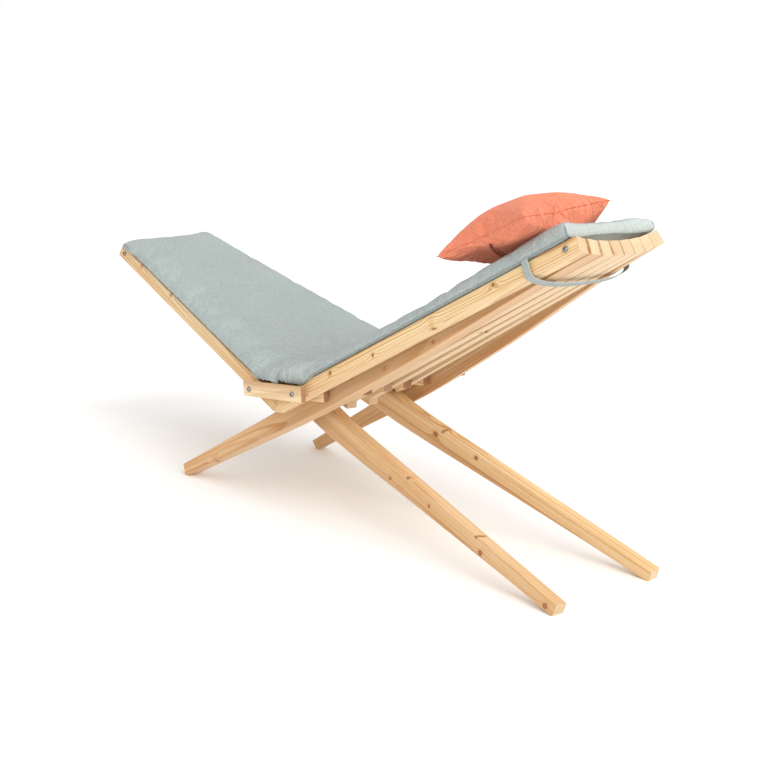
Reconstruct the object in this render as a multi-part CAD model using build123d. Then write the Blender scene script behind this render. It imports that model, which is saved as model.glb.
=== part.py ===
from build123d import *
import math
import os

# Folding stick lounger. Millimetres. +Z up, floor at z = 0, foot end towards -Y,
# back towards +Y, symmetrical about x = 0. Layer 1 is the +X side.

# ---------------------------------------------------------------- driving dims
T = 32.0                 # batten thickness
S = 32.0                 # batten depth, plain battens
GAP = 0.3                # gap between battens in the closed arc at the two ends
EASE = 1.2               # eased long arrises
ROLL = (1.5, 4.5, 9.0, 14.0)      # roll of layers 4/5, 3/6, 2/7, 1/8 in degrees
X_HINGE = (34.3, 102.9, 171.5, 231.4)   # batten centres at y = 0, same order

BACK_Z0, BACK_Y1, BACK_Z1 = 265.9, 780.9, 736.2     # back line: y=0, then top end
SEAT_Z0, SEAT_Y1, SEAT_Z1 = 278.3, -867.7, 526.4    # seat line: y=0, then foot end
BACK_LEVEL = (5.0, 5.0, 0.0, 14.4)    # raise of the batten tops at y = 0
SEAT_LEVEL = (8.0, -7.0, 8.0, 14.4)

PIVOT_C_Y, PIVOT_C_OFF = -69.2, 0.0   # front pivot, height over the seat line
PIVOT_D_Y, PIVOT_D_OFF = 93.6, -3.0   # rear pivot, height over the back line

ROD_R = 2.5              # hinge rods
RUN = 0.05               # radial running clearance of the battens on the rods
CABLE_R = 1.6            # end cables
CABLE_HOLE_R = 3.8
CABLE_IN = 29.0          # cable hole from the batten end
CABLE_DEPTH = 16.0

V_OUTER = 14.0           # butt plane of layers 1 and 8
V_INNER = 40.0           # butt plane of layers 4 and 5
V_GAP = 0.3
END_B3 = 66.0            # y of the lower corner of back battens 3 and 6
END_S2 = -28.0           # y of the lower corner of seat battens 2 and 7
FOOT_SINK = -1.5         # square cut foot: its lower edge before the floor cut

LINK_H = 35.0            # link height
LINK_FRONT, LINK_BACK = 24.0, 33.0    # overhang past the pivots
LINK1_IN, LINK1_OUT = 251.0, 266.0    # outer links
HANG = 8.0               # inner links hang lower than the rods
LINK_CLEAR = 0.8
FOLD = 45.0              # range of each hinge in degrees

MAT_W_HINGE, MAT_W_END = 254.0, 134.0
MAT_END_IN = 24.0        # mattress ends short of the battens
STRAP_U, STRAP_W, STRAP_T = 793.0, 17.0, 2.0
PIL = (332.0, 322.0, 124.0)

os.makedirs("parts", exist_ok=True)


MADE = {}


def out(node, shape):
    MADE[node] = shape


def unit(v):
    return v.normalized()


# the arc that the touching battens make at their ends
ARC = []
x, h = GAP / 2, 0.0
for deg in ROLL:
    r = math.radians(deg)
    ARC.append((x + T / 2 * math.cos(r), h + T / 2 * math.sin(r), r))
    x += T * math.cos(r) + GAP
    h += T * math.sin(r)

LINES = {
    "back": (BACK_Z0, BACK_Y1, BACK_Z1, BACK_LEVEL),
    "seat": (SEAT_Z0, SEAT_Y1, SEAT_Z1, SEAT_LEVEL),
}


def line_frame(kind):
    z0, y1, z1, level = LINES[kind]
    d0 = unit(Vector(0, y1, z1 - z0))
    n0 = Vector(0, -d0.Z, d0.Y) if y1 > 0 else Vector(0, d0.Z, -d0.Y)
    return Vector(0, 0, z0), d0, n0


def pivot(kind):
    o, d0, n0 = line_frame(kind)
    y, off = (PIVOT_D_Y, PIVOT_D_OFF) if kind == "back" else (PIVOT_C_Y, PIVOT_C_OFF)
    u = (y - off * n0.Y) / d0.Y
    return o + d0 * u + n0 * off


PIV_C, PIV_D = pivot("seat"), pivot("back")
LINK_DIR = unit(PIV_D - PIV_C)
LINK_UP = Vector(0, -LINK_DIR.Z, LINK_DIR.Y)
LINK_L = (PIV_D - PIV_C).length


def batten_frame(kind, n):
    """H at y = 0, direction to the arc end, width and height directions, length."""
    a = 4.5 - n
    sg = 1.0 if a > 0 else -1.0
    i = int(abs(a) - 0.5)
    o, d0, n0 = line_frame(kind)
    z0, y1, z1, level = LINES[kind]
    ax, ah, r = ARC[i]
    H = o + Vector(sg * X_HINGE[i], 0, 0) + n0 * level[i]
    E = Vector(0, y1, z1) + Vector(sg * ax, 0, 0) + n0 * ah
    d = unit(E - H)
    e2 = unit(n0 - d * n0.dot(d))
    e1 = d.cross(e2)
    if e1.X < 0:
        e1 = e1 * -1
    rr = sg * r
    w = e1 * math.cos(rr) + e2 * math.sin(rr)
    v = e2 * math.cos(rr) - e1 * math.sin(rr)
    return H, d, w, v, (E - H).length


def u_at(kind, n, depth, y=None, z=None):
    """distance along the batten where its middle line at a depth meets y or z"""
    H, d, w, v, L = batten_frame(kind, n)
    q = H - v * depth
    return (y - q.Y) / d.Y if y is not None else (z - q.Z) / d.Z


def long_profile(kind, n):
    """outline of the long battens, u along and v up: straight top edge of the leg,
    a low crown over the hinge, and a belly on the underside"""
    H, d, w, v, L = batten_frame(kind, n)
    if kind == "back":
        foot = u_at(kind, n, 31.0, z=FOOT_SINK)
        crown = [(-140, 0), (0, 3.2), (109, 5.0), (230, 4.2), (420, 1.6), (640, 0)]
        low = [(foot, -31), (-333, -36), (-231, -41), (-134, -46), (20, -52), (100, -54), (260, -53), (447, -49), (664, -39), (L - 60, -32.5), (L, -32)]
    else:
        foot = u_at(kind, n, 28.0, z=FOOT_SINK)
        crown = [(-190, 0), (-100, 3.0), (0, 11.0), (72, 15.0), (160, 14.0), (330, 8.0), (560, 2.0), (760, 0)]
        low = [(foot, -28), (-708, -32), (-582, -37), (-370, -46), (-170, -55), (-60, -57), (40, -53), (200, -44), (480, -36), (L - 80, -32.3), (L, -32)]
    return foot, crown, low


def long_face(kind, n):
    H, d, w, v, L = batten_frame(kind, n)
    foot, crown, low = long_profile(kind, n)
    a = Line((foot, 0), crown[0])
    b = Spline(*crown, tangents=[(1, 0), (1, 0)])
    c = Line(crown[-1], (L, 0))
    e = Spline(*low)
    return [a, b, c, Line(c @ 1, e @ 1), e, Line(e @ 0, a @ 0)]


def prism(kind, n, face_pts=None):
    H, d, w, v, L = batten_frame(kind, n)
    pl = Plane(origin=H, x_dir=d, z_dir=d.cross(v))
    wire = Polyline(*face_pts, close=True) if face_pts else Wire(long_face(kind, n))
    face = make_face(pl * wire)
    body = extrude(face, amount=T / 2, dir=d.cross(v), both=True)
    long_edges = [e for e in body.edges() if e.length > 100]
    for ease in (EASE, 0.8):
        try:
            return chamfer(long_edges, ease)
        except Exception:
            print("no easing of", ease, "on", kind, n)
    return body


def x_hole(p, r):
    return Plane(origin=(0, p.Y, p.Z), z_dir=(1, 0, 0)) * Cylinder(r, 700)


def half_space(y, side):
    """block that fills the side of the plane at y"""
    return Pos(0, y + side * 400, 300) * Box(900, 800, 1600)


def batten(kind, n):
    H, d, w, v, L = batten_frame(kind, n)
    m = min(n, 9 - n)
    long_one = (kind == "back" and m == 2) or (kind == "seat" and m == 3)
    if long_one:
        body = prism(kind, n)
        body -= Pos(0, 0, -50) * Box(2400, 2400, 100)
    else:
        if kind == "back":
            lo = {1: -120, 4: -120}.get(m)
            if m == 3:
                lo = u_at(kind, n, S, y=END_B3)
        else:
            lo = {1: -120, 3: None, 4: -120}.get(m)
            if m == 2:
                lo = u_at(kind, n, S, y=END_S2)
        body = prism(kind, n, face_pts=[(lo, 0), (L, 0), (L, -S), (lo, -S)])
        if m in (1, 4):
            yv = V_OUTER if m == 1 else V_INNER
            if kind == "back":
                body -= half_space(yv + V_GAP / 2, -1)
            else:
                body -= half_space(yv - V_GAP / 2, 1)
    body -= x_hole(PIV_D if kind == "back" else PIV_C, ROD_R + RUN)
    c = H + d * (L - CABLE_IN) - v * CABLE_DEPTH
    body -= Plane(origin=c, z_dir=w) * Cylinder(CABLE_HOLE_R, T * 3)
    return body


def cable(kind):
    """straight runs through the battens, joined by large tangent arcs in the gaps"""
    pts = []
    for n in range(1, 9):
        H, d, w, v, L = batten_frame(kind, n)
        c = H + d * (L - CABLE_IN) - v * CABLE_DEPTH
        if n == 1:
            pts.append(c + w * (T / 2 + 1.5))
        if n > 1:
            pts.append((last + c + w * (T / 2)) * 0.5)
        last = c - w * (T / 2)
        if n == 8:
            pts.append(c - w * (T / 2 + 1.5))
    radii = []
    for i in range(1, len(pts) - 1):
        a, b = pts[i] - pts[i - 1], pts[i + 1] - pts[i]
        turn = math.radians(a.get_angle(b))
        radii.append(0.45 * min(a.length, b.length) / math.tan(turn / 2))
    print("cable", kind, "radii", [round(r) for r in radii], "length", round(sum((pts[i + 1] - pts[i]).length for i in range(len(pts) - 1)), 1))
    path = FilletPolyline(*pts, radius=radii)
    sec = Plane(origin=path @ 0, z_dir=path % 0) * Circle(CABLE_R)
    return sweep(sec, path=path)


def ferrule(p, axis, r_rod):
    """domed end ferrule with a hex socket, seated at p and looking along axis"""
    pl = Plane(origin=p, z_dir=axis)
    body = Cylinder(6.6, 1.6, align=(Align.CENTER, Align.CENTER, Align.MIN))
    body += Pos(0, 0, 1.6) * Cone(5.8, 4.6, 2.2, align=(Align.CENTER, Align.CENTER, Align.MIN))
    body -= Pos(0, 0, 2.0) * extrude(RegularPolygon(2.6, 6), amount=3)
    body -= Pos(0, 0, -1) * Cylinder(r_rod, 2.6, align=(Align.CENTER, Align.CENTER, Align.MIN))
    return pl * body


def cable_heads(kind):
    parts = []
    for n, s in ((1, 1), (8, -1)):
        H, d, w, v, L = batten_frame(kind, n)
        c = H + d * (L - CABLE_IN) - v * CABLE_DEPTH
        parts.append(ferrule(c + w * (s * (T / 2 + 0.05)), w * s, CABLE_R + 0.9))
    return Compound(children=parts)


# ------------------------------------------------------------- room for a link
def side_points(kind, n, side):
    """points of one side face near the hinge, as seen at rest"""
    H, d, w, v, L = batten_frame(kind, n)
    m = min(n, 9 - n)
    if kind == "back":
        lo = {1: u_at(kind, n, 0, y=V_OUTER), 2: -300.0, 3: u_at(kind, n, S, y=END_B3) - 3, 4: u_at(kind, n, 0, y=V_INNER)}[m]
        depth = 56.0 if m == 2 else S
    else:
        lo = {1: u_at(kind, n, 0, y=V_OUTER) - 6, 2: u_at(kind, n, S, y=END_S2) - 6, 3: -300.0, 4: u_at(kind, n, 0, y=V_INNER) - 6}[m]
        depth = 58.0 if m == 3 else S
    raise_ = 5.0 if (kind == "back" and m == 2) else (15.0 if (kind == "seat" and m == 3) else 0.0)
    pts = []
    for iu in range(0, 76):
        u = lo + (330.0 - lo) * iu / 75.0
        for iv in range(0, 11):
            vv = raise_ - (depth + raise_) * iv / 10.0
            pts.append(H + d * u + v * vv + w * (side * T / 2))
    return pts


def room(n_out, n_in, lo_m, hi_m, stations):
    """outer and inner X limits for a link between two layers, per station"""
    hi = [1e9] * (len(stations) - 1)
    lo = [-1e9] * (len(stations) - 1)
    for n, side, upper in ((n_out, -1, True), (n_in, 1, False)):
        if n < 1 or n > 8:
            continue
        for kind, P, sgn in (("back", PIV_D, 1), ("seat", PIV_C, -1)):
            pts = side_points(kind, n, side)
            for k in range(0, 10):
                a = math.radians(FOLD * k / 9.0) * sgn
                ca, sa = math.cos(a), math.sin(a)
                for q in pts:
                    ry, rz = q.Y - P.Y, q.Z - P.Z
                    y = P.Y + ry * ca - rz * sa - PIV_C.Y
                    z = P.Z + ry * sa + rz * ca - PIV_C.Z
                    s = y * LINK_DIR.Y + z * LINK_DIR.Z
                    m = -y * LINK_DIR.Z + z * LINK_DIR.Y
                    if m < lo_m - 2 or m > hi_m + 2 or s < stations[0] - 4 or s > stations[-1] + 4:
                        continue
                    for j in range(len(stations) - 1):
                        if stations[j] - 4 <= s <= stations[j + 1] + 4:
                            if upper:
                                hi[j] = min(hi[j], q.X)
                            else:
                                lo[j] = max(lo[j], q.X)
    top = [min(hi[max(j - 1, 0)], hi[min(j, len(hi) - 1)]) - LINK_CLEAR for j in range(len(stations))]
    bot = [max(lo[max(j - 1, 0)], lo[min(j, len(lo) - 1)]) + LINK_CLEAR for j in range(len(stations))]
    return top, bot


STATIONS = [-LINK_FRONT, 4.0, 45.0, 82.0, 120.0, 160.0, LINK_L + LINK_BACK]


def link(j):
    hang = 0.0 if j in (1, 9) else HANG
    lo_m, hi_m = -LINK_H / 2 - hang, LINK_H / 2 - hang
    if j in (1, 9):
        s = 1 if j == 1 else -1
        plan = [(-LINK_FRONT, s * LINK1_IN), (LINK_L + LINK_BACK, s * LINK1_IN), (LINK_L + LINK_BACK, s * LINK1_OUT), (-LINK_FRONT, s * LINK1_OUT)]
    else:
        top, bot = room(j - 1, j, lo_m, hi_m, STATIONS)
        print("link", j, "x", [(round(b, 1), round(t, 1)) for b, t in zip(bot, top)])
        plan = [(s_, b) for s_, b in zip(STATIONS, bot)] + [(s_, t) for s_, t in reversed(list(zip(STATIONS, top)))]
    pl = Plane(origin=(0, PIV_C.Y, PIV_C.Z) + LINK_UP * lo_m, x_dir=LINK_DIR, z_dir=LINK_UP)
    # local y of this plane is z x x, which is +X of the part or its opposite
    flip = 1.0 if pl.y_dir.X > 0 else -1.0
    face = make_face(pl * Polyline(*[(a, b * flip) for a, b in plan], close=True))
    body = extrude(face, amount=LINK_H, dir=LINK_UP)
    try:
        body = chamfer([e for e in body.edges() if e.length > 25], 1.0)
    except Exception:
        print("no easing on link", j)
    body -= x_hole(PIV_C, ROD_R)
    body -= x_hole(PIV_D, ROD_R)
    return body


# ------------------------------------------------------------------ soft parts
KNOT_F = (0.0, 130 / 254, 188 / 254, 216 / 254, 248 / 254, 1.0)
SEAT_LOW = ((11.4, 11.4, 12.6, 13.0, 19.6, 20.8), (1.4, 4.8, 9.7, 13.2, 17.6, 19.0))
BACK_LOW = ((6.6, 6.6, 9.2, 12.4, 19.6, 20.8), (1.4, 4.8, 9.7, 13.2, 17.6, 19.0))
THICK = {"seat": (50.0, 50.0, 50.0, 48.0, 42.0, 38.0), "back": (44.0, 44.0, 42.0, 38.0, 30.0, 26.0)}
END_F = (0.0, 66 / 134, 96.5 / 134, 111 / 134, 128 / 134, 1.0)


def slab(kind):
    o, d0, n0 = line_frame(kind)
    z0, y1, z1, level = LINES[kind]
    L = math.hypot(y1, z1 - z0)
    low = SEAT_LOW if kind == "seat" else BACK_LOW
    secs = []
    for t, u in ((0, 0.0), (1, L - MAT_END_IN)):
        f = u / L
        half = MAT_W_HINGE + (MAT_W_END - MAT_W_HINGE) * f
        fr = [KNOT_F[i] + (END_F[i] - KNOT_F[i]) * f for i in range(6)]
        hl = [low[0][i] + (low[1][i] - low[0][i]) * f for i in range(6)]
        right_low = [(half * fr[i], hl[i]) for i in range(6)]
        right_top = [(half * fr[i], hl[i] + THICK[kind][i]) for i in range(6)]
        ring = right_low + right_top[::-1] + [(-a, b) for a, b in right_top[1:]] + [(-a, b) for a, b in right_low[:0:-1]]
        c = o + d0 * u
        secs.append([c + Vector(a, 0, 0) + n0 * b for a, b in ring])
    f0 = make_face(Polyline(*secs[0], close=True))
    f1 = make_face(Polyline(*secs[1], close=True))
    body = loft([f0, f1], ruled=True)
    # the end at the hinge is cut back so that the halves can fold
    P = PIV_C if kind == "seat" else PIV_D
    along = LINK_DIR if kind == "back" else LINK_DIR * -1
    g = math.radians(MID_RAY - FOLD - 1.0)
    ray = along * math.cos(g) + LINK_UP * math.sin(g)
    side = along * math.sin(g) - LINK_UP * math.cos(g)      # towards the body of the slab
    o3 = Vector(0, P.Y, P.Z) + side * 3.0
    pl = Plane(origin=o3, x_dir=(1, 0, 0), z_dir=side)
    cutter = pl * Pos(0, 0, -200) * Box(900, 900, 400)
    return body - cutter


MID_RAY = 125.0
MID_LOW, MID_TOP = 19.0, 62.0


def middle():
    def edge(m, end):
        off = -m / math.tan(math.radians(MID_RAY)) + 3.4
        return off if end == 0 else LINK_L - off
    prof = [(edge(MID_LOW, 0), MID_LOW), (edge(MID_LOW, 1), MID_LOW), (edge(MID_TOP, 1), MID_TOP), (edge(MID_TOP, 0), MID_TOP)]
    pts = [Vector(0, PIV_C.Y, PIV_C.Z) + LINK_DIR * s + LINK_UP * m + Vector(-MAT_W_HINGE, 0, 0) for s, m in prof]
    face = make_face(Polyline(*pts, close=True))
    body = extrude(face, amount=2 * MAT_W_HINGE, dir=(1, 0, 0))
    return body


def strap():
    """band from the mattress edges around the underside of the back battens"""
    o, d0, n0 = line_frame("back")
    f = STRAP_U / 912.0
    half = MAT_W_HINGE + (MAT_W_END - MAT_W_HINGE) * f
    c = o + d0 * (STRAP_U - STRAP_W / 2)
    right = [(half + 1.6, 32.0), (half + 3.4, 10.0), (half + 4.6, -8.0), (half + 2.6, -17.5), (half - 7, -23.5), (half - 36, -32.0), (half - 68, -37.0), (0, -40.0)]
    path = right + [(-a, b) for a, b in right[-2::-1]]
    inner = Spline(*[(a, b) for a, b in path])
    n_s = 40
    def offset_pt(t, dist):
        p, tg = inner @ t, inner % t
        nrm = Vector(-tg.Y, tg.X, 0)
        return p + nrm * dist
    q = [inner @ (i / n_s) for i in range(n_s + 1)]
    outer_pts = [offset_pt(i / n_s, STRAP_T) for i in range(n_s + 1)]
    outer = Spline(*[(p.X, p.Y) for p in outer_pts])
    wire = Wire([inner, Line(inner @ 1, outer @ 1), outer, Line(outer @ 0, inner @ 0)])
    pl = Plane(origin=c, x_dir=(1, 0, 0), z_dir=Vector(1, 0, 0).cross(n0))
    face = make_face(pl * wire)
    return extrude(face, amount=STRAP_W, dir=d0)


PIL_POS = (18.0, 711.0, 53.0)    # x, along the back, underside height over the back line
PIL_TURN = -2.0


def pillow():
    o, d0, n0 = line_frame("back")
    pl = Plane(origin=o + d0 * PIL_POS[1] + n0 * PIL_POS[2] + Vector(PIL_POS[0], 0, 0), x_dir=(1, 0, 0), z_dir=n0)
    a, b, c = PIL
    secs = []
    for z, f in ((0.0, 0.62), (c * 0.22, 0.88), (c * 0.5, 1.0), (c * 0.78, 0.88), (c, 0.62)):
        secs.append(pl * Pos(0, 0, z) * Rot(0, 0, PIL_TURN) * RectangleRounded(a * f, b * f, 26 * f))
    return loft(secs, ruled=True)


# ----------------------------------------------------------------------- build
for kind in ("back", "seat"):
    for n in range(1, 9):
        out("%s_stick_%d" % (kind, n), batten(kind, n))
    out(kind + "_cable", cable(kind))
    out(kind + "_cable_heads", cable_heads(kind))

for j in range(1, 10):
    out("link_%d" % j, link(j))

for name, P in (("rod_seat", PIV_C), ("rod_back", PIV_D)):
    rod = Plane(origin=(0, P.Y, P.Z), z_dir=(1, 0, 0)) * Cylinder(ROD_R, 2 * LINK1_OUT + 2.4)
    out(name, rod)
heads = []
for P in (PIV_C, PIV_D):
    for s in (1, -1):
        heads.append(ferrule(Vector(s * (LINK1_OUT + 0.02), P.Y, P.Z), Vector(s, 0, 0), ROD_R + 0.05))
out("link_heads", Compound(children=heads))

out("mattress_seat", slab("seat"))
out("mattress_back", slab("back"))
out("mattress_middle", middle())
out("strap", strap())
out("pillow", pillow())

# the origin is the bottom centre of the whole part
boxes = [s.bounding_box() for s in MADE.values()]
mid_y = (min(b.min.Y for b in boxes) + max(b.max.Y for b in boxes)) / 2
for node, shape in MADE.items():
    export_step(Pos(0, -mid_y, 0) * shape, "parts/" + node + ".step")
print("moved in y by", -mid_y)
print("pivots", PIV_C.Y - mid_y, PIV_C.Z, PIV_D.Y - mid_y, PIV_D.Z)
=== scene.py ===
import math
import random

import bmesh
import bpy
import numpy as np
from mathutils import Matrix, Vector


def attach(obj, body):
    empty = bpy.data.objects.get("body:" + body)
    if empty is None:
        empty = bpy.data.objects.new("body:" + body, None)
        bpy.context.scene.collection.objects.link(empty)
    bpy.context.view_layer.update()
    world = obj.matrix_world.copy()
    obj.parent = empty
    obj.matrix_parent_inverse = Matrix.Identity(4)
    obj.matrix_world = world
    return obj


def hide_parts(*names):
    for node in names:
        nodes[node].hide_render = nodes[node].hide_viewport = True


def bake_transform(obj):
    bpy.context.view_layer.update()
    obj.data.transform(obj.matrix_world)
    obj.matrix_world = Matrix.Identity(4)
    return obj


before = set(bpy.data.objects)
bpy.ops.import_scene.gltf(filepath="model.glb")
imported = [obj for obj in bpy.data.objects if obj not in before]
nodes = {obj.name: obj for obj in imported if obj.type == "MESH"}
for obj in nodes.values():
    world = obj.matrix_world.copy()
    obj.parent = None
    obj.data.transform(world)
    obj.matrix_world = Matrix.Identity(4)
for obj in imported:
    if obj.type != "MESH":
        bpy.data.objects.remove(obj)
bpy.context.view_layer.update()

scene = bpy.context.scene

# Metres. Foot end towards -Y, back towards +Y, layer 1 is the +X side. Lengths below
# are in millimetres where a name ends in _mm.
Y0 = 24.2148          # shift of the frame along y, mm

# ------------------------------------------------------------------ camera
AZ, PITCH, TWIST = math.radians(137.32), math.radians(13.03), math.radians(2.29)
back_v = Vector((math.sin(AZ) * math.cos(PITCH), -math.cos(AZ) * math.cos(PITCH), math.sin(PITCH)))
right_v = Vector((0, 0, 1)).cross(back_v).normalized()
up_v = back_v.cross(right_v)
cam_x = right_v * math.cos(TWIST) + up_v * math.sin(TWIST)
cam_y = up_v * math.cos(TWIST) - right_v * math.sin(TWIST)
cam_data = bpy.data.cameras.new("camera")
cam_data.lens = 61.03
cam_data.sensor_width = 36.0
cam_data.clip_end = 60.0
cam = bpy.data.objects.new("camera", cam_data)
m = Matrix((cam_x, cam_y, back_v)).transposed().to_4x4()
m.translation = Vector((2.0718, 2.3852, 1.0206))
cam.matrix_world = m
scene.collection.objects.link(cam)
scene.camera = cam

# ------------------------------------------------------------------ light and floor
scene.view_settings.view_transform = "Standard"
scene.view_settings.look = "None"

world = bpy.data.worlds.new("studio")
scene.world = world
world.use_nodes = True
bg = world.node_tree.nodes["Background"]
bg.inputs[0].default_value = (1.0, 1.0, 1.0, 1)
bg.inputs[1].default_value = 0.79
seen = world.node_tree.nodes.new("ShaderNodeBackground")
seen.inputs[0].default_value = (1.0, 1.0, 1.0, 1)
seen.inputs[1].default_value = 1.0
which = world.node_tree.nodes.new("ShaderNodeMixShader")
path_ = world.node_tree.nodes.new("ShaderNodeLightPath")
world.node_tree.links.new(path_.outputs["Is Camera Ray"], which.inputs[0])
world.node_tree.links.new(bg.outputs[0], which.inputs[1])
world.node_tree.links.new(seen.outputs[0], which.inputs[2])
world.node_tree.links.new(which.outputs[0], world.node_tree.nodes["World Output"].inputs[0])


def area_light(name, loc, aim, size, power, colour=(1, 1, 1)):
    d = bpy.data.lights.new(name, "AREA")
    d.shape = "RECTANGLE"
    d.size, d.size_y = size
    d.energy = power
    d.color = colour
    o = bpy.data.objects.new(name, d)
    o.location = loc
    o.rotation_euler = (Vector(aim) - Vector(loc)).to_track_quat("-Z", "Y").to_euler()
    scene.collection.objects.link(o)
    return o


sun_data = bpy.data.lights.new("overhead", "SUN")
sun_data.energy = 2.42
sun_data.angle = math.radians(58)
sun_data.color = (1.0, 0.99, 0.975)
sun = bpy.data.objects.new("overhead", sun_data)
sun.rotation_euler = Vector((-0.18, -0.77, -0.60)).to_track_quat("-Z", "Y").to_euler()
scene.collection.objects.link(sun)

bpy.ops.mesh.primitive_plane_add(size=60, location=(0, 0, 0))
floor = bpy.context.object
floor.name = "floor"
fm = bpy.data.materials.new("floor")
fm.use_nodes = True
fp = fm.node_tree.nodes["Principled BSDF"]
fp.inputs["Base Color"].default_value = (0.96, 0.96, 0.96, 1)
fp.inputs["Roughness"].default_value = 0.9
floor.data.materials.append(fm)


# ------------------------------------------------------------------ node helpers
def put(tree, kind, ins=None, **attrs):
    n = tree.nodes.new(kind)
    for k, v in attrs.items():
        setattr(n, k, v)
    for k, v in (ins or {}).items():
        if isinstance(v, bpy.types.NodeSocket):
            tree.links.new(v, n.inputs[k])
        else:
            n.inputs[k].default_value = v
    return n


def calc(tree, op, *vals, clamp=False):
    n = put(tree, "ShaderNodeMath", dict(enumerate(vals)), operation=op)
    n.use_clamp = clamp
    return n.outputs[0]


def vcalc(tree, op, *vals, scale=None):
    n = put(tree, "ShaderNodeVectorMath", dict(enumerate(vals)), operation=op)
    if scale is not None:
        if isinstance(scale, bpy.types.NodeSocket):
            tree.links.new(scale, n.inputs["Scale"])
        else:
            n.inputs["Scale"].default_value = scale
    return n.outputs["Value"] if op in ("DOT_PRODUCT", "LENGTH", "DISTANCE") else n.outputs[0]


def noise(tree, vec, scale=1.0, detail=2.0, rough=0.5, dist=0.0, dims="3D", w=None):
    n = tree.nodes.new("ShaderNodeTexNoise")
    n.noise_dimensions = dims
    if vec is not None:
        tree.links.new(vec, n.inputs["Vector"])
    if w is not None:
        tree.links.new(w, n.inputs["W"])
    n.inputs["Scale"].default_value = scale
    n.inputs["Detail"].default_value = detail
    n.inputs["Roughness"].default_value = rough
    n.inputs["Distortion"].default_value = dist
    return n.outputs[0]


def remap(tree, v, a, b, c=0.0, d=1.0, smooth=True):
    n = put(tree, "ShaderNodeMapRange", {0: v, 1: a, 2: b, 3: c, 4: d})
    n.interpolation_type = "SMOOTHSTEP" if smooth else "LINEAR"
    n.clamp = True
    return n.outputs[0]


def blendc(tree, fac, a, b, kind="MIX"):
    n = tree.nodes.new("ShaderNodeMix")
    n.data_type = "RGBA"
    n.blend_type = kind
    for i, v in ((0, fac), (6, a), (7, b)):
        if isinstance(v, bpy.types.NodeSocket):
            tree.links.new(v, n.inputs[i])
        else:
            n.inputs[i].default_value = v
    return n.outputs[2]


def lin(r, g, b):
    """sRGB 0-255 to linear"""
    f = lambda c: c / 12.92 if c <= 0.04045 else ((c + 0.055) / 1.055) ** 2.4
    return (f(r / 255.0), f(g / 255.0), f(b / 255.0), 1.0)


def group_tree(name, ins, outs):
    g = bpy.data.node_groups.new(name, "ShaderNodeTree")
    for n, kind in ins:
        g.interface.new_socket(name=n, in_out="INPUT", socket_type=kind)
    for n, kind in outs:
        g.interface.new_socket(name=n, in_out="OUTPUT", socket_type=kind)
    gi = g.nodes.new("NodeGroupInput")
    go = g.nodes.new("NodeGroupOutput")
    return g, gi.outputs, go.inputs


def use_group(tree, g, ins):
    n = tree.nodes.new("ShaderNodeGroup")
    n.node_tree = g
    for k, v in ins.items():
        if isinstance(v, bpy.types.NodeSocket):
            tree.links.new(v, n.inputs[k])
        else:
            n.inputs[k].default_value = v
    return n.outputs


def material(name):
    mat = bpy.data.materials.new(name)
    mat.use_nodes = True
    return mat, mat.node_tree, mat.node_tree.nodes["Principled BSDF"]


VEC, FLT, COL = "NodeSocketVector", "NodeSocketFloat", "NodeSocketColor"

# ------------------------------------------------------------------ wood
# one knot: a branch that runs out of the pith through the face
KNOT, ki, ko = group_tree("knot", [("Point", VEC), ("Place", VEC), ("Axis", VEC), ("Radius", FLT)],
                          [("Near", FLT), ("Core", FLT), ("Rim", FLT), ("Warp", FLT)])
d_ = vcalc(KNOT, "SUBTRACT", ki["Point"], ki["Place"])
d_ = vcalc(KNOT, "ADD", d_, vcalc(KNOT, "SCALE", vcalc(KNOT, "SUBTRACT", put(KNOT, "ShaderNodeTexNoise", {"Vector": ki["Point"], "Scale": 260.0, "Detail": 1.0}).outputs["Color"], (0.5, 0.5, 0.5)), scale=0.0022))
t_ = vcalc(KNOT, "DOT_PRODUCT", d_, ki["Axis"])
side_ = vcalc(KNOT, "SUBTRACT", d_, vcalc(KNOT, "SCALE", ki["Axis"], scale=t_))
dist_ = calc(KNOT, "DIVIDE", vcalc(KNOT, "LENGTH", side_), ki["Radius"])
flat_ = vcalc(KNOT, "MULTIPLY", side_, (0.42, 1.0, 1.0))
dflat_ = calc(KNOT, "DIVIDE", vcalc(KNOT, "LENGTH", flat_), ki["Radius"])
gate_ = remap(KNOT, calc(KNOT, "ABSOLUTE", t_), 0.020, 0.034, 1.0, 0.0)
KNOT.links.new(dist_, ko["Near"])
KNOT.links.new(calc(KNOT, "MULTIPLY", remap(KNOT, dist_, 0.72, 1.05, 1.0, 0.0), gate_), ko["Core"])
rim_ = calc(KNOT, "MULTIPLY", remap(KNOT, dist_, 0.68, 0.92), remap(KNOT, dist_, 0.98, 1.35, 1.0, 0.0))
KNOT.links.new(calc(KNOT, "MULTIPLY", rim_, gate_), ko["Rim"])
e_ = calc(KNOT, "EXPONENT", calc(KNOT, "MULTIPLY", calc(KNOT, "POWER", dflat_, 2.0), -0.22))
KNOT.links.new(calc(KNOT, "MULTIPLY", calc(KNOT, "MULTIPLY", e_, gate_), calc(KNOT, "MULTIPLY", ki["Radius"], 1900.0)), ko["Warp"])

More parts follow.
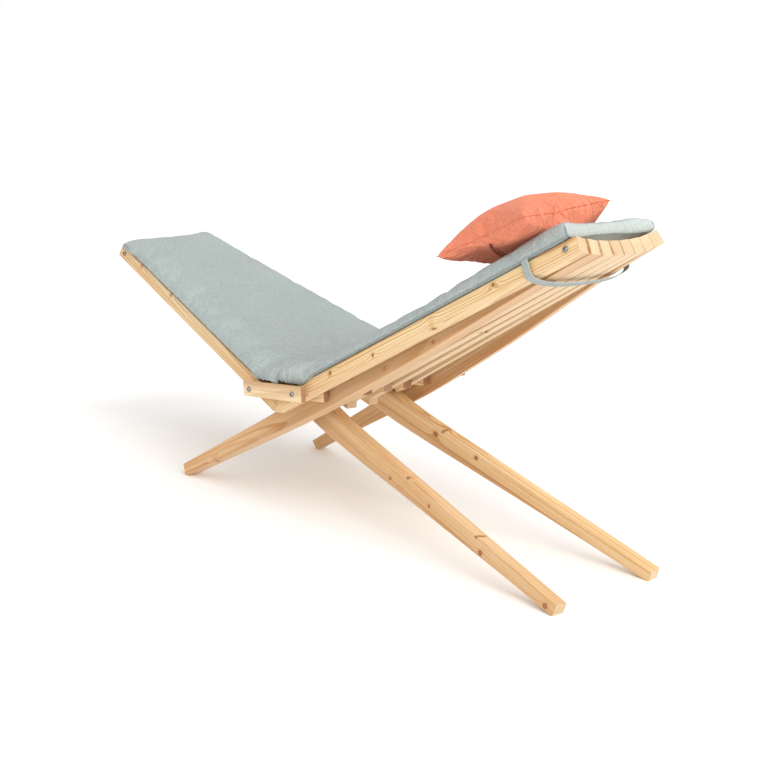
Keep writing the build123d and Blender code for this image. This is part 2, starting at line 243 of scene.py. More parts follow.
# the grain: growth rings about a pith that lies outside or near the batten
WOOD, wi, wo = group_tree("wood_grain", [("Point", VEC), ("Seed", FLT), ("Pith", VEC), ("Tilt", VEC), ("Ring", FLT), ("Warp", FLT), ("Core", FLT), ("Rim", FLT), ("Near", FLT), ("End", FLT), ("Tone", FLT), ("Pale", FLT), ("Shade", FLT)],
                          [("Color", COL), ("Height", FLT), ("Rough", FLT)])
P = wi["Point"]
shift = put(WOOD, "ShaderNodeCombineXYZ", {0: calc(WOOD, "MULTIPLY", wi["Seed"], 1.37), 1: calc(WOOD, "MULTIPLY", wi["Seed"], 0.71), 2: calc(WOOD, "MULTIPLY", wi["Seed"], 2.3)}).outputs[0]
Q = vcalc(WOOD, "ADD", P, shift)
sep = put(WOOD, "ShaderNodeSeparateXYZ", {0: P}).outputs
run = calc(WOOD, "MULTIPLY", sep[0], 1000.0)
tilt = put(WOOD, "ShaderNodeSeparateXYZ", {0: wi["Tilt"]}).outputs
pith = put(WOOD, "ShaderNodeSeparateXYZ", {0: wi["Pith"]}).outputs
aa = calc(WOOD, "SUBTRACT", calc(WOOD, "SUBTRACT", calc(WOOD, "MULTIPLY", sep[1], 1000.0), pith[1]), calc(WOOD, "MULTIPLY", run, tilt[1]))
bb = calc(WOOD, "SUBTRACT", calc(WOOD, "SUBTRACT", calc(WOOD, "MULTIPLY", sep[2], 1000.0), pith[2]), calc(WOOD, "MULTIPLY", run, tilt[2]))
rad = calc(WOOD, "SQRT", calc(WOOD, "ADD", calc(WOOD, "MULTIPLY", aa, aa), calc(WOOD, "MULTIPLY", bb, bb)))
wob = noise(WOOD, vcalc(WOOD, "MULTIPLY", Q, (2.4, 16.0, 16.0)), 1.0, 2.0, 0.45)
rad = calc(WOOD, "ADD", rad, calc(WOOD, "MULTIPLY", calc(WOOD, "SUBTRACT", wob, 0.5), 11.0))
rad = calc(WOOD, "ADD", rad, wi["Warp"])
uneven = noise(WOOD, None, 0.075, 2.0, 0.6, dims="1D", w=calc(WOOD, "ADD", rad, calc(WOOD, "MULTIPLY", wi["Seed"], 131.0)))
phase = calc(WOOD, "ADD", calc(WOOD, "DIVIDE", rad, wi["Ring"]), calc(WOOD, "MULTIPLY", uneven, 2.6))
saw = calc(WOOD, "FRACT", phase)
late = calc(WOOD, "MULTIPLY", remap(WOOD, saw, 0.42, 0.90), remap(WOOD, saw, 0.92, 1.0, 1.0, 0.0))
year = put(WOOD, "ShaderNodeTexWhiteNoise", {"W": calc(WOOD, "FLOOR", phase)}, noise_dimensions="1D").outputs[0]
late = calc(WOOD, "MULTIPLY", late, remap(WOOD, year, 0.0, 1.0, 0.45, 1.0, smooth=False))
fibre = noise(WOOD, vcalc(WOOD, "MULTIPLY", Q, (22.0, 900.0, 900.0)), 1.0, 3.0, 0.6)
pore = noise(WOOD, vcalc(WOOD, "MULTIPLY", Q, (60.0, 2600.0, 2600.0)), 1.0, 1.0, 0.5)
patch = noise(WOOD, vcalc(WOOD, "MULTIPLY", Q, (3.2, 34.0, 34.0)), 1.0, 2.0, 0.5)
warm = noise(WOOD, vcalc(WOOD, "MULTIPLY", Q, (1.3, 9.0, 9.0)), 1.0, 1.0, 0.5)
base = blendc(WOOD, remap(WOOD, warm, 0.32, 0.68), lin(243, 224, 180), lin(238, 209, 157))
base = blendc(WOOD, calc(WOOD, "MULTIPLY", remap(WOOD, patch, 0.38, 0.70), 0.6), base, lin(229, 190, 134))
streak = noise(WOOD, vcalc(WOOD, "MULTIPLY", Q, (1.8, 170.0, 170.0)), 1.0, 3.0, 0.6)
base = blendc(WOOD, calc(WOOD, "MULTIPLY", remap(WOOD, streak, 0.46, 0.66), 0.50), base, lin(215, 170, 114))
base = blendc(WOOD, calc(WOOD, "MULTIPLY", remap(WOOD, streak, 0.54, 0.36), 0.35), base, lin(246, 226, 188))
base = blendc(WOOD, calc(WOOD, "MULTIPLY", late, 0.90), base, lin(191, 129, 70))
base = blendc(WOOD, calc(WOOD, "MULTIPLY", remap(WOOD, fibre, 0.5, 0.78), 0.44), base, lin(190, 136, 84))
base = blendc(WOOD, calc(WOOD, "MULTIPLY", remap(WOOD, pore, 0.52, 0.78), 0.12), base, lin(244, 224, 188))
base = blendc(WOOD, wi["Tone"], base, lin(182, 116, 64))
base = blendc(WOOD, wi["Pale"], base, lin(237, 214, 182))
# around a knot the wood is darker, inside it is brown with its own fine rings
halo = remap(WOOD, wi["Near"], 1.0, 3.2, 0.42, 0.0)
base = blendc(WOOD, halo, base, lin(196, 132, 78))
fine = calc(WOOD, "FRACT", calc(WOOD, "MULTIPLY", wi["Near"], 3.4))
inner = blendc(WOOD, remap(WOOD, fine, 0.2, 0.9), lin(190, 130, 82), lin(144, 88, 50))
base = blendc(WOOD, wi["Core"], base, inner)
base = blendc(WOOD, calc(WOOD, "MULTIPLY", wi["Rim"], 0.82), base, lin(84, 46, 24))
# sawn end grain is paler and rougher
rays = noise(WOOD, vcalc(WOOD, "MULTIPLY", Q, (300.0, 700.0, 700.0)), 1.0, 2.0, 0.6)
endc = blendc(WOOD, calc(WOOD, "MULTIPLY", late, 0.7), lin(218, 195, 160), lin(190, 144, 96))
endc = blendc(WOOD, calc(WOOD, "MULTIPLY", remap(WOOD, rays, 0.45, 0.75), 0.3), endc, lin(212, 176, 132))
# Shade darkens the end grain: a little on the battens as their own tone, strongly on the links as painted shade on
# their end faces
endc = blendc(WOOD, wi["Shade"], endc, lin(150, 104, 66))
# painted shade: the end grain darkens next to its side faces, standing in for the shadow in the gaps between
# neighbouring battens
side_w = remap(WOOD, calc(WOOD, "ABSOLUTE", sep[1]), 0.0138, 0.0158)
side_v = remap(WOOD, calc(WOOD, "ABSOLUTE", calc(WOOD, "ADD", sep[2], 0.016)), 0.0138, 0.0158)
endc = blendc(WOOD, calc(WOOD, "MULTIPLY", side_w, 0.7), endc, lin(140, 92, 54))
# darker along the long arrises: partly wear, partly painted shade for the gaps between neighbouring battens
arris_wear_and_gap_shade = calc(WOOD, "MULTIPLY", calc(WOOD, "MULTIPLY", side_w, side_v), remap(WOOD, patch, 0.3, 0.7, 0.2, 0.55))
base = blendc(WOOD, arris_wear_and_gap_shade, base, lin(176, 122, 76))
base = blendc(WOOD, wi["End"], base, endc)
WOOD.links.new(base, wo["Color"])
hgt = calc(WOOD, "ADD", calc(WOOD, "MULTIPLY", late, 0.5), calc(WOOD, "MULTIPLY", fibre, 0.55))
hgt = calc(WOOD, "ADD", hgt, calc(WOOD, "MULTIPLY", calc(WOOD, "MULTIPLY", rays, wi["End"]), 0.9))
hgt = calc(WOOD, "SUBTRACT", hgt, calc(WOOD, "MULTIPLY", wi["Rim"], 1.4))
WOOD.links.new(hgt, wo["Height"])
WOOD.links.new(remap(WOOD, calc(WOOD, "ADD", calc(WOOD, "MULTIPLY", fibre, 0.6), calc(WOOD, "MULTIPLY", late, -0.25)), 0.1, 0.5, 0.50, 0.68), wo["Rough"])


def wood_material(name, origin, d, w, v, seed, pith, tilt, ring, knots, tone=0.0, pale=0.0, shade=0.0):
    """grain along d, faces across w and v, all in metres in the row frame"""
    mat, t, bsdf = material(name)
    tc = t.nodes.new("ShaderNodeTexCoord")
    rel = vcalc(t, "SUBTRACT", tc.outputs["Object"], tuple(origin))
    loc = put(t, "ShaderNodeCombineXYZ", {i: vcalc(t, "DOT_PRODUCT", rel, tuple(ax)) for i, ax in enumerate((d, w, v))}).outputs[0]
    end = remap(t, calc(t, "ABSOLUTE", vcalc(t, "DOT_PRODUCT", tc.outputs["Normal"], tuple(d))), 0.62, 0.82)
    near = core = rim = warp = None
    for place, axis, r in knots:
        k = use_group(t, KNOT, {"Point": loc, "Place": tuple(place), "Axis": tuple(Vector(axis).normalized()), "Radius": r})
        if near is None:
            near, core, rim, warp = k["Near"], k["Core"], k["Rim"], k["Warp"]
        else:
            near = calc(t, "MINIMUM", near, k["Near"])
            core = calc(t, "MAXIMUM", core, k["Core"])
            rim = calc(t, "MAXIMUM", rim, k["Rim"])
            warp = calc(t, "ADD", warp, k["Warp"])
    # painted light: the faces on the underside are painted paler than the others, standing in for light bounced up
    # from the floor
    underside_bounce_light = remap(t, calc(t, "MULTIPLY", vcalc(t, "DOT_PRODUCT", tc.outputs["Normal"], tuple(v)), -1.0), 0.55, 0.8, pale, min(1.0, pale + 0.34))
    ins = {"Point": loc, "Seed": seed, "Pith": pith, "Tilt": tilt, "Ring": ring, "End": end, "Tone": tone, "Pale": underside_bounce_light, "Shade": shade}
    if near is None:
        ins["Near"] = 50.0
    else:
        ins.update({"Near": near, "Core": core, "Rim": rim, "Warp": warp})
    g = use_group(t, WOOD, ins)
    t.links.new(g["Color"], bsdf.inputs["Base Color"])
    t.links.new(g["Rough"], bsdf.inputs["Roughness"])
    bsdf.inputs["Specular IOR Level"].default_value = 0.32
    bump = put(t, "ShaderNodeBump", {"Height": g["Height"], "Strength": 0.5, "Distance": 0.0006})
    t.links.new(bump.outputs[0], bsdf.inputs["Normal"])
    return mat


# ------------------------------------------------------------------ batten frames
ROLL = (1.5, 4.5, 9.0, 14.0)
X_HINGE = (34.3, 102.9, 171.5, 231.4)
LINES = {"back": (265.9, 780.9, 736.2, (5.0, 5.0, 0.0, 14.4)), "seat": (278.3, -867.7, 526.4, (8.0, -7.0, 8.0, 14.4))}
ARC = []
x_, h_ = 0.15, 0.0
for deg in ROLL:
    r_ = math.radians(deg)
    ARC.append((x_ + 16 * math.cos(r_), h_ + 16 * math.sin(r_), r_))
    x_ += 32 * math.cos(r_) + 0.3
    h_ += 32 * math.sin(r_)


def line_frame(kind):
    z0, y1, z1, level = LINES[kind]
    d0 = Vector((0, y1, z1 - z0)).normalized()
    n0 = Vector((0, -d0.z, d0.y)) if y1 > 0 else Vector((0, d0.z, -d0.y))
    return Vector((0, Y0, z0)), d0, n0, math.hypot(y1, z1 - z0)


def batten_frame(kind, n):
    a = 4.5 - n
    sg = 1.0 if a > 0 else -1.0
    i = int(abs(a) - 0.5)
    o, d0, n0, L = line_frame(kind)
    z0, y1, z1, level = LINES[kind]
    ax, ah, r = ARC[i]
    H = o + Vector((sg * X_HINGE[i], 0, 0)) + n0 * level[i]
    E = Vector((0, y1 + Y0, z1)) + Vector((sg * ax, 0, 0)) + n0 * ah
    d = (E - H).normalized()
    e2 = (n0 - d * n0.dot(d)).normalized()
    e1 = d.cross(e2)
    if e1.x < 0:
        e1 = -e1
    rr = sg * r
    return H, d, e1 * math.cos(rr) + e2 * math.sin(rr), e2 * math.cos(rr) - e1 * math.sin(rr), (E - H).length


# knots seen in the picture: along, height on the face (mm from the top arris), radius
SEEN = {
    "back_stick_1": [(704, -10.1, 3.4), (207.6, -11.5, 3.8), (346.6, -22, 3.0)],
    "seat_stick_6": [(-212.5, -18.9, 5.6), (-233, -1.0, 2.8), (-347.8, -10.2, 4.2)],
    "seat_stick_3": [(-326.7, -33.0, 3.0), (-377.2, -2.0, 3.0), (-618, -3.0, 2.4), (-643, -25.5, 4.6), (-844, -18.8, 4.6)],
    "seat_stick_1": [(770, -4.0, 3.0), (577, -4.6, 2.8)],
    "back_stick_2": [(318, -36.0, 2.6), (474, -36, 2.6)],
}
TONES = {"back_stick_1": 0.0, "back_stick_2": 0.48, "back_stick_7": 0.42, "seat_stick_3": 0.35, "seat_stick_6": 0.12, "seat_stick_1": 0.22, "back_stick_8": 0.42}
rng = random.Random(7)
for kind in ("back", "seat"):
    for n in range(1, 9):
        H, d, w, v, L = batten_frame(kind, n)
        name = "%s_stick_%d" % (kind, n)
        ang = rng.uniform(0, 2 * math.pi)
        far = rng.uniform(26, 70)
        pith = (0.0, far * math.cos(ang), -16 + far * math.sin(ang))
        tilt = (0.0, rng.uniform(-0.020, 0.020), rng.uniform(-0.020, 0.020))
        knots = [((u / 1000, 0.016, b / 1000), (rng.uniform(-0.2, 0.2), 1.0, rng.uniform(-0.35, 0.35)), r / 1000) for u, b, r in SEEN.get(name, [])]
        lo = -840 if (kind, min(n, 9 - n)) in (("back", 2), ("seat", 3)) else 60
        for _ in range(2 if name in SEEN else rng.choice((2, 3, 3, 4))):
            u = rng.uniform(lo, L * 1000 / 1.0 - 60) if L < 10 else rng.uniform(lo, L - 60)
            side = rng.choice((1, -1, -1))
            ax = (rng.uniform(-0.25, 0.25), rng.uniform(-0.5, 0.5), 1.0) if side == 1 else (rng.uniform(-0.25, 0.25), 1.0, rng.uniform(-0.5, 0.5))
            knots.append(((u / 1000, rng.uniform(-0.009, 0.009), -0.016 + rng.uniform(-0.009, 0.009)), ax, rng.uniform(2.0, 4.6) / 1000))
        mat = wood_material("wood_" + name, H / 1000, d, w, v, rng.uniform(0, 9), pith, tilt, rng.uniform(3.2, 5.4), knots, tone=TONES.get(name, rng.choice((0.0, 0.04, 0.08))), pale=0.0 if name in TONES else (0.30 if kind == "back" else 0.15), shade=rng.choice((0.0, 0.05, 0.12, 0.2)))
        ob = nodes[name]
        ob.data.materials.clear()
        ob.data.materials.append(mat)

PC = Vector((0, -69.2 + Y0, 298.0862)) / 1000
PD = Vector((0, 93.6 + Y0, 318.7689)) / 1000
LD = (PD - PC).normalized()
LU = Vector((0, -LD.z, LD.y))
for j in range(1, 10):
    name = "link_%d" % j
    ang = rng.uniform(0, 2 * math.pi)
    far = rng.uniform(24, 50)
    knots = []
    if j == 1:
        knots = [((0.0205, 0.0, -0.0028 - 0.0035), (0.1, 1.0, 0.1), 0.0030)]
    elif rng.random() < 0.4:
        knots = [((rng.uniform(0.03, 0.13), 0.0, rng.uniform(-0.012, 0.008)), (0.1, 1.0, 0.2), 0.003)]
    # the links' end grain gets a strong Shade: painted shade on their end faces
    mat = wood_material("wood_" + name, PC, LD, Vector((1, 0, 0)), LU, rng.uniform(0, 9), (0.0, far * math.cos(ang), far * math.sin(ang)), (0.0, rng.uniform(-0.03, 0.03), rng.uniform(-0.03, 0.03)), rng.uniform(3.0, 4.6), knots, tone=rng.choice((0.0, 0.06)), pale=0.36 if j == 1 else 0.15, shade=0.45 if j == 1 else 0.7)
    ob = nodes[name]
    ob.data.materials.clear()
    ob.data.materials.append(mat)


# ------------------------------------------------------------------ metal
def metal(name, dark, light, rough, scale):
    mat, t, bsdf = material(name)
    tc = t.nodes.new("ShaderNodeTexCoord")
    n1 = noise(t, tc.outputs["Object"], scale, 4.0, 0.6)
    n2 = noise(t, tc.outputs["Object"], scale * 0.22, 2.0, 0.5)
    t.links.new(blendc(t, remap(t, n2, 0.3, 0.7), dark, light), bsdf.inputs["Base Color"])
    t.links.new(remap(t, n1, 0.3, 0.75, rough - 0.08, rough + 0.14), bsdf.inputs["Roughness"])
    bsdf.inputs["Metallic"].default_value = 1.0
    bump = put(t, "ShaderNodeBump", {"Height": n1, "Strength": 0.15, "Distance": 0.0002})
    t.links.new(bump.outputs[0], bsdf.inputs["Normal"])
    return mat


steel = metal("steel_zinc", (0.24, 0.25, 0.25, 1), (0.38, 0.39, 0.38, 1), 0.46, 900.0)
wire = metal("steel_wire", (0.30, 0.30, 0.31, 1), (0.46, 0.46, 0.47, 1), 0.40, 1400.0)
for n in ("rod_seat", "rod_back", "link_heads", "seat_cable_heads", "back_cable_heads"):
    nodes[n].data.materials.clear()
    nodes[n].data.materials.append(steel)
for n in ("seat_cable", "back_cable"):
    nodes[n].data.materials.clear()
    nodes[n].data.materials.append(wire)


# ------------------------------------------------------------------ cloth
def cloth_material(name, origin, ax, ay, az, pitch, light, mid, dark, sheen, mottle=0.2, bump=0.5, puckers=(), painted_end_light=None, folds=()):
    """plain weave that follows the piece's own axes, seen on every face"""
    mat, t, bsdf = material(name)
    tc = t.nodes.new("ShaderNodeTexCoord")
    rel = vcalc(t, "SUBTRACT", tc.outputs["Object"], tuple(origin))
    wav = noise(t, rel, 7.0, 2.0, 0.5)
    k = 2 * math.pi / pitch
    w, masks, c = [], [], []
    for i, axis in enumerate((ax, ay, az)):
        co = vcalc(t, "DOT_PRODUCT", rel, tuple(axis))
        co = calc(t, "ADD", co, calc(t, "MULTIPLY", wav, 0.006))
        w.append(calc(t, "SINE", calc(t, "MULTIPLY", co, k)))
        masks.append(calc(t, "SUBTRACT", 1.0, calc(t, "ABSOLUTE", vcalc(t, "DOT_PRODUCT", tc.outputs["Normal"], tuple(axis)))))
        c.append(co)
    xy = calc(t, "MULTIPLY", calc(t, "MULTIPLY", w[0], w[1]), calc(t, "MULTIPLY", masks[0], masks[1]))
    yz = calc(t, "MULTIPLY", calc(t, "MULTIPLY", w[1], w[2]), calc(t, "MULTIPLY", masks[1], masks[2]))
    xz = calc(t, "MULTIPLY", calc(t, "MULTIPLY", w[0], w[2]), calc(t, "MULTIPLY", masks[0], masks[2]))
    weave = calc(t, "ADD", calc(t, "ADD", xy, yz), xz)
    slub = noise(t, vcalc(t, "MULTIPLY", put(t, "ShaderNodeCombineXYZ", {0: c[0], 1: c[1], 2: c[2]}).outputs[0], (520.0, 60.0, 520.0)), 1.0, 2.0, 0.6)
    slub2 = noise(t, vcalc(t, "MULTIPLY", put(t, "ShaderNodeCombineXYZ", {0: c[0], 1: c[1], 2: c[2]}).outputs[0], (60.0, 520.0, 520.0)), 1.0, 2.0, 0.6)
    cloud = noise(t, rel, 9.0, 3.0, 0.55)
    speck = noise(t, rel, 420.0, 3.0, 0.7)
    heather = noise(t, rel, 400.0, 2.0, 0.7)
    col = blendc(t, calc(t, "MULTIPLY", remap(t, cloud, 0.3, 0.7), mottle), mid, light)
    col = blendc(t, calc(t, "MULTIPLY", remap(t, slub, 0.45, 0.75), 0.30), col, dark)
    col = blendc(t, calc(t, "MULTIPLY", remap(t, slub2, 0.45, 0.75), 0.30), col, light)
    col = blendc(t, calc(t, "MULTIPLY", remap(t, speck, 0.46, 0.74), 0.42), col, dark)
    col = blendc(t, calc(t, "MULTIPLY", remap(t, heather, 0.50, 0.66), 0.42), col, dark)
    col = blendc(t, calc(t, "MULTIPLY", remap(t, heather, 0.50, 0.34), 0.64), col, light)
    col = blendc(t, calc(t, "MULTIPLY", remap(t, weave, -0.9, 0.1, 1.0, 0.0), 0.30), col, dark)
    # narrow grooves along short lines of points: darkened with painted shade, and cut into the bump
    groove = None
    for pts, wide in folds:
        for pa, pb in zip(pts[:-1], pts[1:]):
            ab = Vector(pb) - Vector(pa)
            off = vcalc(t, "SUBTRACT", tc.outputs["Object"], tuple(pa))
            part = calc(t, "DIVIDE", vcalc(t, "DOT_PRODUCT", off, tuple(ab)), ab.length_squared, clamp=True)
            gap = vcalc(t, "LENGTH", vcalc(t, "SUBTRACT", off, vcalc(t, "SCALE", tuple(ab), scale=part)))
            one = calc(t, "EXPONENT", calc(t, "MULTIPLY", calc(t, "POWER", calc(t, "DIVIDE", gap, wide), 2.0), -1.0))
            groove = one if groove is None else calc(t, "MAXIMUM", groove, one)
    if groove is not None:
        # painted shade in the grooves
        col = blendc(t, calc(t, "MULTIPLY", groove, 0.80), col, tuple(0.42 * v for v in dark[:3]) + (1.0,))
    if painted_end_light is not None:
        # painted light: the panel that closes an end is painted paler where it faces along the back, standing in for
        # the light falling on it
        facing = remap(t, vcalc(t, "DOT_PRODUCT", tc.outputs["Normal"], tuple(painted_end_light[0])), 0.45, 0.85)
        col = blendc(t, calc(t, "MULTIPLY", facing, painted_end_light[1]), col, painted_end_light[2])
    t.links.new(col, bsdf.inputs["Base Color"])
    bsdf.inputs["Roughness"].default_value = 0.92
    bsdf.inputs["Specular IOR Level"].default_value = 0.15
    bsdf.inputs["Sheen Weight"].default_value = sheen
    bsdf.inputs["Sheen Roughness"].default_value = 0.5
    h = calc(t, "ADD", calc(t, "MULTIPLY", weave, 0.5), calc(t, "MULTIPLY", calc(t, "ADD", slub, slub2), 0.35))
    b = put(t, "ShaderNodeBump", {"Height": h, "Strength": bump, "Distance": 0.0004})
    last = b.outputs[0]
    if groove is not None:
        b1 = put(t, "ShaderNodeBump", {"Height": calc(t, "MULTIPLY", groove, -1.0), "Strength": 1.0, "Distance": 0.004, "Normal": last})
        last = b1.outputs[0]
    # short pulled folds beside a seam that runs from one point to another
    for i, (pa, pb, reach, per_m, depth) in enumerate(puckers):
        along = Vector(pb) - Vector(pa)
        full = along.length
        along.normalize()
        off = vcalc(t, "SUBTRACT", tc.outputs["Object"], tuple(pa))
        run_ = vcalc(t, "DOT_PRODUCT", off, tuple(along))
        away = vcalc(t, "LENGTH", vcalc(t, "SUBTRACT", off, vcalc(t, "SCALE", tuple(along), scale=run_)))
        sway = noise(t, off, 26.0, 2.0, 0.5)
        coord = calc(t, "ADD", calc(t, "MULTIPLY", run_, per_m), calc(t, "MULTIPLY", sway, 1.2))
        fold = noise(t, None, 1.0, 2.0, 0.55, dims="1D", w=calc(t, "ADD", coord, 7.3 * i))
        gate = calc(t, "EXPONENT", calc(t, "MULTIPLY", calc(t, "POWER", calc(t, "DIVIDE", away, reach), 1.6), -1.0))
        ends = calc(t, "MULTIPLY", remap(t, run_, -0.02, 0.02), remap(t, run_, full - 0.02, full + 0.02, 1.0, 0.0))
        some = remap(t, noise(t, None, 9.0, 1.0, 0.5, dims="1D", w=calc(t, "ADD", run_, 3.1 * i)), 0.22, 0.50)
        hf = calc(t, "MULTIPLY", calc(t, "MULTIPLY", fold, gate), calc(t, "MULTIPLY", ends, some))
        b2 = put(t, "ShaderNodeBump", {"Height": hf, "Strength": 1.0, "Distance": depth, "Normal": last})
        last = b2.outputs[0]
    t.links.new(last, bsdf.inputs["Normal"])
    return mat


oS, dS, nS, LS = line_frame("seat")
oB, dB, nB, LB = line_frame("back")
X = Vector((1, 0, 0))
GREY = (lin(184, 193, 190), lin(162, 171, 169), lin(116, 126, 124))
CORAL = (lin(246, 163, 133), lin(236, 140, 108), lin(194, 88, 62))


def on_line(o, d, n, x, u, h):
    return (o + d * u + n * h + X * x) / 1000


seat_puckers = [(on_line(oS, dS, nS, sx * 250, 150, 30), on_line(oS, dS, nS, sx * 136, 900, 32), 0.045, 42.0, 0.0022) for sx in (1, -1)]
# long shallow wrinkles beside the crease
seat_puckers.append((on_line(oS, dS, nS, 185, 30, 44), on_line(oS, dS, nS, 165, 150, 48), 0.110, 58.0, 0.007))
back_puckers = [(on_line(oB, dB, nB, 144, 884, 34), on_line(oB, dB, nB, -144, 884, 34), 0.024, 64.0, 0.0055),
                (on_line(oB, dB, nB, 244, 120, 30), on_line(oB, dB, nB, 140, 870, 32), 0.028, 40.0, 0.0035),
                (on_line(oB, dB, nB, 165, 20, 44), on_line(oB, dB, nB, 150, 110, 42), 0.120, 60.0, 0.006)]
cloth_seat = cloth_material("cloth_seat", oS / 1000, X, dS, nS, 0.0016, *GREY, 0.05, puckers=seat_puckers)
# the back's end panel gets painted light: a paler colour where it faces along the back
cloth_back = cloth_material("cloth_back", oB / 1000, X, dB, nB, 0.0016, lin(189, 198, 195), lin(167, 176, 174), lin(121, 131, 129), 0.05, puckers=back_puckers, painted_end_light=(dB, 0.26, lin(226, 233, 229)))
PIL_C = {"P3": (-168, 545, 108), "P1": (154, 575, 126), "Pn": (210, 874, 76), "P2": (-126, 837, 121)}
PIL_P = {k: on_line(oB, dB, nB, *v) for k, v in PIL_C.items()}
pillow_puckers = [(PIL_P[p], PIL_P[q], 0.050, 85.0, 0.015) for p, q in (("Pn", "P2"), ("P2", "P3"), ("P3", "P1"))] + [(PIL_P["P1"], PIL_P["Pn"], 0.030, 60.0, 0.003)]
# one pinched fold in the lower side, near the place where it meets the mattress; its lines carry painted shade
PLEAT = [(140.5, 716.5, 86.8), (121.1, 701.5, 84.9), (91.0, 680.5, 84.5), (71.5, 671.1, 80.7), (57.1, 666.6, 76.8)]
PLEAT_B = [(140.3, 723.6, 84.0), (118.5, 708.0, 82.2), (90.9, 690.2, 81.5), (71.6, 682.4, 77.9), (58.9, 680.2, 74.5)]
pillow_folds = [([on_line(oB, dB, nB, *v) for v in PLEAT], 0.0026), ([on_line(oB, dB, nB, *v) for v in PLEAT_B], 0.0017)]
cloth_pillow = cloth_material("cloth_pillow", oB / 1000, X, dB, nB, 0.0013, *CORAL, 0.05, puckers=pillow_puckers, folds=pillow_folds)


# ------------------------------------------------------------------ mesh helpers
def box_grid(nx, ny, nz):
    """grid on the six sides of a box: keys and faces"""
    index, keys, faces = {}, [], []

    def vid(i, j, k):
        key = (i, j, k)
        if key not in index:
            index[key] = len(keys)
            keys.append(key)
        return index[key]

    for i in range(nx):
        for j in range(ny):
            for k in (0, nz):
                q = [vid(i, j, k), vid(i + 1, j, k), vid(i + 1, j + 1, k), vid(i, j + 1, k)]
                faces.append(q if k == nz else q[::-1])
    for j in range(ny):
        for k in range(nz):
            for i in (0, nx):
                q = [vid(i, j, k), vid(i, j + 1, k), vid(i, j + 1, k + 1), vid(i, j, k + 1)]
                faces.append(q if i == nx else q[::-1])
    for i in range(nx):
        for k in range(nz):
            for j in (0, ny):
                q = [vid(i, j, k), vid(i + 1, j, k), vid(i + 1, j, k + 1), vid(i, j, k + 1)]
                faces.append(q if j == 0 else q[::-1])
    return keys, index, faces


def mesh_object(name, co, faces, mats):
    me = bpy.data.meshes.new(name)
    me.from_pydata([tuple(c) for c in co], [], faces)
    me.update()
    bm = bmesh.new()
    bm.from_mesh(me)
    bmesh.ops.recalc_face_normals(bm, faces=bm.faces)
    bm.to_mesh(me)
    bm.free()
    me.shade_smooth()
    ob = bpy.data.objects.new(name, me)
    for mt in mats:
        me.materials.append(mt)
    scene.collection.objects.link(ob)
    return ob


def read_co(ob):
    co = np.empty(len(ob.data.vertices) * 3)
    ob.data.vertices.foreach_get("co", co)
    return co.reshape(-1, 3)


def write_co(ob, co):
    ob.data.vertices.foreach_set("co", np.asarray(co).ravel())
    ob.data.update()


def puff(ob, weights, pressure, grow, cap, frames=20, stiff=15.0, bend=0.5, mass=0.3):
    """swells a closed mesh by cloth under inner pressure, and keeps the result"""
    start = read_co(ob)
    vg = ob.vertex_groups.new(name="hold")
    for val in sorted(set(np.round(weights, 3))):
        if val > 0:
            vg.add([int(i) for i in np.nonzero(np.abs(weights - val) < 6e-4)[0]], float(val), "REPLACE")
    mod = ob.modifiers.new("cloth", "CLOTH")
    st = mod.settings
    st.quality = 6
    st.mass = mass
    st.tension_stiffness = st.compression_stiffness = st.shear_stiffness = stiff
    st.bending_stiffness = bend
    st.use_pressure = True
    st.uniform_pressure_force = pressure
    st.shrink_min = -grow
    st.vertex_group_mass = "hold"
    st.effector_weights.gravity = 0.0
    mod.collision_settings.use_collision = False
    mod.point_cache.frame_start = 1
    mod.point_cache.frame_end = frames
    for f in range(1, frames + 1):
        scene.frame_set(f)
    dg = bpy.context.evaluated_depsgraph_get()
    ev = ob.evaluated_get(dg)
    co = np.empty(len(ev.data.vertices) * 3)
    ev.data.vertices.foreach_get("co", co)
    co = co.reshape(-1, 3)
    ob.modifiers.remove(mod)
    ob.vertex_groups.clear()
    scene.frame_set(1)
    d = co - start
    ln = np.linalg.norm(d, axis=1)
    print("cloth", ob.name, "moved up to", round(float(ln.max()) * 1000, 1), "mm, mean", round(float(ln.mean()) * 1000, 1))
    s = np.minimum(1.0, cap / np.maximum(ln, 1e-9))
    write_co(ob, start + d * s[:, None])


def subdivide(ob, levels=1):
    md = ob.modifiers.new("smooth", "SUBSURF")
    md.levels = md.render_levels = levels
    dg = bpy.context.evaluated_depsgraph_get()
    me = bpy.data.meshes.new_from_object(ob.evaluated_get(dg))
    old = ob.data
    ob.modifiers.clear()
    ob.data = me
    name = old.name
    bpy.data.meshes.remove(old)
    me.name = name
    me.shade_smooth()


def smooth01(t):
    t = np.clip(t, 0, 1)
    return t * t * (3 - 2 * t)


def tube(pts, radius, sides=8):
    """closed-ended tube along points, as arrays"""
    pts = np.asarray(pts, float)
    tan = np.gradient(pts, axis=0)
    tan /= np.linalg.norm(tan, axis=1)[:, None]
    ref = np.array([0.3, 0.2, 0.93])
    co, faces = [], []
    for p, t in zip(pts, tan):
        a = np.cross(t, ref)
        a /= np.linalg.norm(a)
        b = np.cross(t, a)
        for q in range(sides):
            an = 2 * math.pi * q / sides
            co.append(p + (a * math.cos(an) + b * math.sin(an)) * radius)
    n = len(pts)
    for i in range(n - 1):
        for q in range(sides):
            r = (q + 1) % sides
            faces.append([i * sides + q, i * sides + r, (i + 1) * sides + r, (i + 1) * sides + q])
    faces.append(list(range(sides))[::-1])
    faces.append([(n - 1) * sides + q for q in range(sides)])
    return np.array(co), faces


